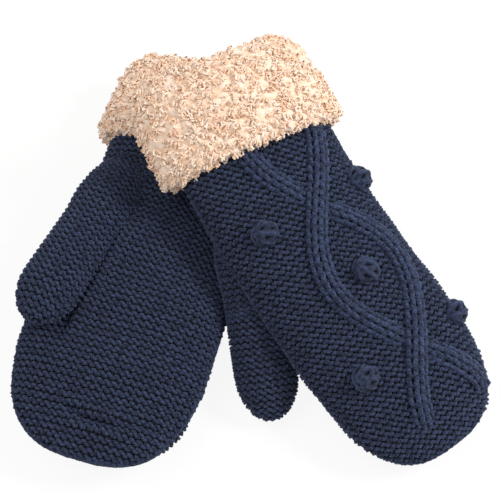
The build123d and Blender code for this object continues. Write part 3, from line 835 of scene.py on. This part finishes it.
def seam_sheet(mitten):
    """The ridge along both edges and round the fingertips, where the palm and back are joined."""
    start, straight = CUFF_LENGTH + HEM_WIDTH, LENGTH - TIP_LENGTH
    alongs = [start + (straight - start) * i / 40 for i in range(40)]
    turns = [math.pi / 2 * i / 24 for i in range(25)]
    alongs += [straight + TIP_LENGTH * math.sin(turn) ** (2 / TIP_SQUARENESS) for turn in turns]
    alongs = [min(along, LENGTH - 0.05) for along in alongs]
    edge = [mitten.surface(0.0, along) for along in alongs]
    far = [mitten.surface(math.pi, along) for along in reversed(alongs)]
    line = np.array(edge + far)
    ahead = np.gradient(line, axis=0)
    ahead /= np.maximum(np.linalg.norm(ahead, axis=1, keepdims=True), 1e-9)
    rows = []
    for point, direction in zip(line, np.cross(ahead, [0, 0, 1.0])):
        row = []
        for j in range(7):
            turn = math.pi * j / 6
            out = direction * (SEAM_PROUD * math.sin(turn) + SEAM_EDGE)
            row.append(list(point + out + np.array([0, 0, -SEAM_HALF_HEIGHT * math.cos(turn)])))
        rows.append(row)
    return sheet("seam", mitten, rows, arc_lengths(line), mitten.on_hand(0, 120))


def hand_knit(mitten):
    """The palm, the back, the seam and the cables of one mitten."""
    side, body = mitten.side, f"{mitten.side}_hand"
    for name, palm in (("palm", True), ("back", False)):
        node = f"{side}_{name}_panel"
        yarn = knit(f"{side}_{name}_yarn", panel_sheet(mitten, palm), Seed=2.0 + palm)
        wall = merged_copy(node, f"{side}_{name}_wall", UNDER_YARN)
        # Painted shade: the wall under the yarn is dark where it shows between the stitches
        wall.data.materials.append(PAINTED_SHADE_LOOK)
        finish_piece(join(f"{side}_{name}_knit", [yarn, wall]), body, "hand_knit", node)
    loops = {"Wale": 4.6 * MM, "Course": 3.4 * MM, "Opening": 0.9 * MM, "Depth": 0.6 * MM}
    seam = knit(f"{side}_seam_stitches", seam_sheet(mitten), Stitches=1, Purl=-1.0, **loops)
    finish_piece(seam, body, "hand_knit", f"{side}_edge_seam")
    for word, way in (("over", 1), ("under", -1)):
        surface = rope_sheet(mitten, way)
        core = set_back(surface)
        thick = core.modifiers.new("thickness", "SOLIDIFY")
        thick.thickness, thick.offset = 1.6 * MM, -1.0
        core = plain(core, f"{side}_{word}_core")
        # Painted shade: the rope's core is dark where it shows between its stitches
        core.data.materials.append(PAINTED_SHADE_LOOK)
        loops = {"Wale": ROPE_STITCH * MM, "Course": ROPE_ROW * MM, "Reach": ROPE_ROW * 0.72 * MM}
        loops |= {"Opening": 0.1 * MM, "Depth": 1.1 * MM, "Slant": 0.0, "Yarn": 2.9 * MM, "Seed": 7.0}
        yarn = knit(f"{side}_{word}_yarn", surface, ROPE_LOOK, Stitches=3, Purl=-1.0, **loops)
        node = f"{side}_cable_strand_{word}"
        finish_piece(join(f"{side}_cable_{word}_knit", [yarn, core]), body, "cable_knit", node)


def bobbles(mitten):
    """Five wound bobbles on the back of the hand, pressed in where the mitten lies on them."""
    places = [(PATTERN_OFFSET, FIRST_CROSSING + CROSSING_PITCH / 2)]
    for along in (FIRST_CROSSING, FIRST_CROSSING + CROSSING_PITCH):
        places += [(PATTERN_OFFSET + way * BOBBLE_SPREAD, along) for way in (-1, 1)]
    points = []
    for across, along in places:
        half_width, half_depth = mitten.half_sizes(along)
        share = max(-BOBBLE_EDGE, min(BOBBLE_EDGE, across / half_width))
        depth = -half_depth * math.sqrt(1 - share**2)
        normal = np.array([share / half_width, depth / half_depth**2])
        normal /= np.linalg.norm(normal)
        sunk = BOBBLE_PROUD - BOBBLE_RADIUS + (PRESSED_IN if mitten is LEFT else 0.0)
        x, z = share * half_width + normal[0] * sunk, depth + normal[1] * sunk
        points.append(mitten.on_hand(x, along, z))
    start = mesh_object("bobble_places", mitten.place(points), [])
    sizes = {"Radius": (BOBBLE_RADIUS - BOBBLE_YARN / 2) * MM, "Seed": 3 if mitten is LEFT else 4}
    sizes |= {"Heading": math.atan2(mitten.across[1], mitten.across[0]), "Material": ROPE_LOOK}
    made = grow(start, f"{mitten.side}_bobbles_wound", BOBBLES, sizes)
    finish_piece(made, f"{mitten.side}_hand", "bobble_yarn", f"{mitten.side}_bobbles")


def thumb_knit(mitten):
    """The thumb's knit, in place of its CAD node."""
    side = mitten.side
    walls, yarns = [], []
    for number, upper in enumerate((True, False)):
        surface = thumb_sheet(mitten, upper)
        walls.append(set_back(surface))
        yarns.append(knit(f"{side}_thumb_yarn_{number}", surface, Seed=4.0 + number))
    wall = join(f"{side}_thumb_wall", walls)
    merge(wall.data, 0.2)
    # Painted shade: the thumb's wall is dark where it shows between the stitches
    wall.data.materials.append(PAINTED_SHADE_LOOK)
    made = join(f"{side}_thumb_knitted", [*yarns, wall])
    root, axis, _, _ = thumb_frame(mitten)
    rest_on_floor(made)
    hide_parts(f"{side}_thumb_knit")
    start, end = mitten.place([root - axis * 12, root + axis * 16])
    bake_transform(made)


def rest_on_floor(made):
    """Presses what yarn or pile would be under the floor flat against it."""
    places = np.array([v.co for v in made.data.vertices])
    places[:, 2] = np.maximum(places[:, 2], 0.0)
    made.data.vertices.foreach_set("co", places.ravel().astype(np.float32))
    made.data.update()


def finish_piece(made, body, slot, *nodes):
    """Puts a finished piece on its body in place of its CAD nodes."""
    rest_on_floor(made)
    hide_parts(*nodes)
    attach(made, body)


def pile_amounts(mitten, places):
    """1 where the fleece's pile faces the air, and 0 where it lies against the knit."""
    across, along, up = mitten.local(places).T
    share = np.hypot(across / (WRIST_WIDTH / 2), up / (WRIST_DEPTH / 2))
    outside = np.hypot(across, up) * (1 - 1 / np.maximum(share, 0.05))
    ends = (along < -1.0) | (along > CUFF_LENGTH - 0.5)
    return ((outside > PILE_OUTSIDE) | (outside < PILE_INSIDE) | ends).astype(float)


def lean_cuff(mitten, places):
    """The upper cuff sits a little askew, while its turned-in end stays at the wrist's seam."""
    across, along, up = mitten.local(places).T
    share = np.hypot(across / (WRIST_WIDTH / 2), up / (WRIST_DEPTH / 2))
    held = np.where(share > 1, 0.0, np.clip((along + 3) / 12, 0, 1))
    slipped = CUFF_LEAN * np.clip(0.5 + across / WRIST_WIDTH, 0, 1.1) * (1 - held)
    return places - np.outer(slipped * MM, mitten.along)


def fleece(mitten, node, body, slot, look, voxel, curls):
    """A CAD fleece piece's own form with an uneven pile surface, and curls where pile shows."""
    node, body = f"{mitten.side}_{node}", f"{mitten.side}_{body}"
    base = merged_copy(node, f"{node}_form")
    remesh = base.modifiers.new("even", "REMESH")
    remesh.mode, remesh.voxel_size = "VOXEL", voxel * MM
    base = plain(base, f"{node}_form")
    mesh = base.data
    places = np.array([v.co for v in mesh.vertices])
    pile = pile_amounts(mitten, places)
    normals = np.array([v.normal for v in mesh.vertices])
    waves = sum(
        np.sin(places @ direction / MM * 2 * math.pi / pitch + phase)
        for direction, pitch, phase in FLEECE_WAVES
    )
    puffs = np.minimum(np.abs(waves) / 2.0, 1.2)  # tufts with creases between them
    places += normals * ((puffs - PUFF_MIDDLE) * PUFF_HEIGHT * pile)[:, None] * MM
    if node.endswith("cuff_hem"):  # its start is tucked under the band's end
        past = mitten.local(places)[:, 1] - (CUFF_LENGTH - HEM_WIDTH)
        places -= np.outer(np.clip(1 - past / TUCK_RUN, 0, 1) * TUCK * MM, mitten.along)
    if mitten is LEFT and "cuff" in node:
        places = lean_cuff(mitten, places)
    mesh.vertices.foreach_set("co", places.ravel().astype(np.float32))
    mesh.attributes.new("pile", "FLOAT", "POINT").data.foreach_set("value", pile)
    # Painted shade: the fleece is darker in the creases between its tufts and paler on their tops
    mesh.attributes.new("tone", "FLOAT", "POINT").data.foreach_set("value", 0.1 + puffs * 0.5)
    mesh.shade_smooth()
    sizes = {"Density": curls * CURLS_PER_MM2 / MM**2, "Material": look}
    finish_piece(grow(base, f"{node}_pile", CURLS, sizes), body, slot, node)


# Lumps in the pile: directions, pitch in mm and phase, all of them 5 to 11 mm apart
wave_rng = np.random.default_rng(11)
FLEECE_WAVES = []
for _ in range(7):
    heading = wave_rng.normal(size=3)
    heading /= np.linalg.norm(heading)
    FLEECE_WAVES.append((heading, wave_rng.uniform(5, 11), wave_rng.uniform(0, 6)))

for mitten in (RIGHT, LEFT):
    hand_knit(mitten)
    bobbles(mitten)
    thumb_knit(mitten)
    fleece(mitten, "turned_cuff", "cuff", "cuff_fleece", CUFF_LOOK, 1.25, 1.0)
    fleece(mitten, "cuff_hem", "cuff", "cuff_fleece", CUFF_LOOK, 1.0, 1.0)
    fleece(mitten, "hand_lining", "hand", "lining_fleece", LINING_LOOK, 2.2, 0.0)
    fleece(mitten, "wrist_seam", "hand", "lining_fleece", LINING_LOOK, 0.9, 0.0)
    fleece(mitten, "thumb_lining", "thumb", "lining_fleece", LINING_LOOK, 1.4, 0.0)


# The studio: a pale floor, two soft lights and a plain white world


def seen_directly(tree):
    """1 for what the camera sees, by itself or through gloss or glass."""
    rays = add(tree, "ShaderNodeLightPath")
    seen = add(tree, MATH, MAXIMUM, {0: rays["Is Camera Ray"], 1: rays["Is Glossy Ray"]})[0]
    return add(tree, MATH, MAXIMUM, {0: seen, 1: rays["Is Transmission Ray"]})[0]


def white_to_the_camera(name, colour):
    """A surface that is white where it is seen, with a faint shadow, and that lights the object
    as its own colour does."""
    material, tree = new_material(name)
    surface = add(tree, PRINCIPLED, {}, {"Base Color": linear(colour), "Roughness": 0.9})[0]
    white = add(tree, "ShaderNodeEmission", {}, {"Color": (1, 1, 1, 1), "Strength": 1.02})[0]
    share = add(tree, MATH, MULTIPLY, {0: seen_directly(tree), 1: 0.88})[0]
    mixed = add(tree, "ShaderNodeMixShader", {}, {0: share, 1: surface, 2: white})[0]
    add(tree, SURFACE, {}, {"Surface": mixed})
    return material


bpy.ops.mesh.primitive_plane_add(size=6, location=(0, 0, -0.0006))
floor = bpy.context.object
floor.name = "studio_floor"
floor.data.materials.append(white_to_the_camera("studio_paper", "#F2F1EE"))


def soft_light(name, place, size, power):
    """A round lamp over the pair, aimed at its middle."""
    lamp = bpy.data.lights.new(name, "AREA")
    lamp.shape, lamp.size, lamp.energy = "DISK", size, power
    made = new_object(name, lamp)
    made.location = place
    made.rotation_euler = (Vector((0, 0, 0.03)) - Vector(place)).to_track_quat("-Z", "Y").to_euler()


soft_light("key", (0.95, 0.1, 0.95), 0.4, 12.5)
soft_light("fill", (-0.6, 0.0, 1.25), 0.9, 5.2)

world = bpy.data.worlds.new("studio")
bpy.context.scene.world = world
world.use_nodes = True
sky = world.node_tree
sky.nodes.clear()
strength = add(sky, MATH, MULTIPLY_ADD, {0: seen_directly(sky), 1: 0.5, 2: 0.5})[0]
background = add(sky, "ShaderNodeBackground", {}, {"Color": (1, 1, 1, 1), "Strength": strength})[0]
add(sky, "ShaderNodeOutputWorld", {}, {"Surface": background})

scene = bpy.context.scene
scene.view_settings.view_transform = "Standard"

# The camera looks along +Y from above, square to the pair
ELEVATION, DISTANCE, AIM = math.radians(65.2), 0.8, Vector((-0.0012, -0.0018, 0.030))
camera = new_object("camera", bpy.data.cameras.new("camera"))
camera.location = AIM + DISTANCE * Vector((0, -math.cos(ELEVATION), math.sin(ELEVATION)))
camera.rotation_euler = (AIM - camera.location).to_track_quat("-Z", "Y").to_euler()
camera.data.lens = 36 * DISTANCE / 0.2875
camera.data.clip_start = 0.05
scene.camera = camera
